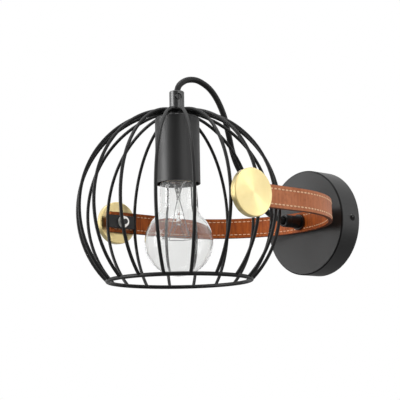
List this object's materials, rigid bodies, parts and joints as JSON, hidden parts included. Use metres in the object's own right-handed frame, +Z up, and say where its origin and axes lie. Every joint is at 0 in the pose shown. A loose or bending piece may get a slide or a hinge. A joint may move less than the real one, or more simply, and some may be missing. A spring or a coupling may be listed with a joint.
{
  "type": "wall sconce",
  "caption": "Wall light with a round canopy, a level leather covered yoke, two brass thumb knobs and a tilting domed wire cage shade round a clear bulb.",
  "frame": {"origin": "centre of the canopy's back face, on the wall plane", "axes": "the light stands out from the wall along -Y, X runs along the wall and the pivot, +Z is up"},
  "size_m": [0.1992, 0.2659, 0.1881],
  "materials": {
    "black_paint": "satin black powder coat",
    "zinc": "zinc plated steel",
    "spring_steel": "spring steel, hidden in the strap",
    "white_plastic": "matte",
    "black_plastic": "satin",
    "brass_hardware": "plain brass",
    "brass": "turned and polished",
    "leather": "smooth tan brown leather, pale stitches",
    "ceramic": "glazed",
    "clear_glass": "clear",
    "black_glass": "dark glass insulator",
    "cap_aluminium": "plain",
    "wire": "thin wire",
    "cord_jacket": "matt black sheath"
  },
  "bodies": {
    "wall_mount": {"canopy_cover": "black_paint", "wall_bracket": "zinc", "canopy_side_screws": "black_paint", "terminal_block": "white_plastic", "terminal_screws": "brass_hardware", "earth_screw": "brass_hardware", "earth_washer": "zinc", "mount_washer": "zinc", "mount_locknut": "zinc", "mount_tube": "zinc", "strap_collar": "black_paint", "strap_band": "spring_steel", "strap_outer_leather": "leather", "strap_inner_leather": "leather", "wall_grip_body": "black_plastic", "wall_grip_nut": "black_plastic", "supply_cord": "cord_jacket"},
    "right_knob": {"knob_right": "brass", "knob_stud_right": "zinc"},
    "left_knob": {"knob_left": "brass", "knob_stud_left": "zinc"},
    "shade": {"pivot_spacers": "black_paint", "pivot_washers": "zinc", "pivot_nuts": "zinc", "cage_ribs": "black_paint", "cage_ring": "black_paint", "cage_hub": "black_paint", "cage_plates": "black_paint", "lamp_cup": "black_paint", "cup_washer": "zinc", "shade_locknut": "zinc", "shade_tube": "zinc", "lampholder_body": "ceramic", "lampholder_shell": "brass_hardware", "lampholder_contact": "brass_hardware", "top_grip": "black_plastic", "top_grip_screw": "black_plastic"},
    "bulb": {"bulb_glass": "clear_glass", "bulb_cap": "cap_aluminium", "bulb_insulator": "black_glass", "bulb_tip": "cap_aluminium", "bulb_stem": "clear_glass", "bulb_leads": "wire", "bulb_supports": "wire", "bulb_filament": "wire"}
  },
  "joints": [
    {"name": "shade_tilt", "type": "hinge", "parent": "wall_mount", "child": "shade", "pos_m": [0, -0.176, 0], "axis": [1, 0, 0], "range_deg": [-45, 15], "deforming": ["supply_cord"]},
    {"name": "right_knob_turn", "type": "hinge", "parent": "wall_mount", "child": "right_knob", "pos_m": [0.0935, -0.176, 0], "axis": [1, 0, 0], "range_deg": [0, 360]},
    {"name": "left_knob_turn", "type": "hinge", "parent": "wall_mount", "child": "left_knob", "pos_m": [-0.0935, -0.176, 0], "axis": [-1, 0, 0], "range_deg": [0, 360]},
    {"name": "bulb_out", "type": "slide", "parent": "shade", "child": "bulb", "axis": [0, 0, -1], "range_m": [0, 0.11]}
  ]
}
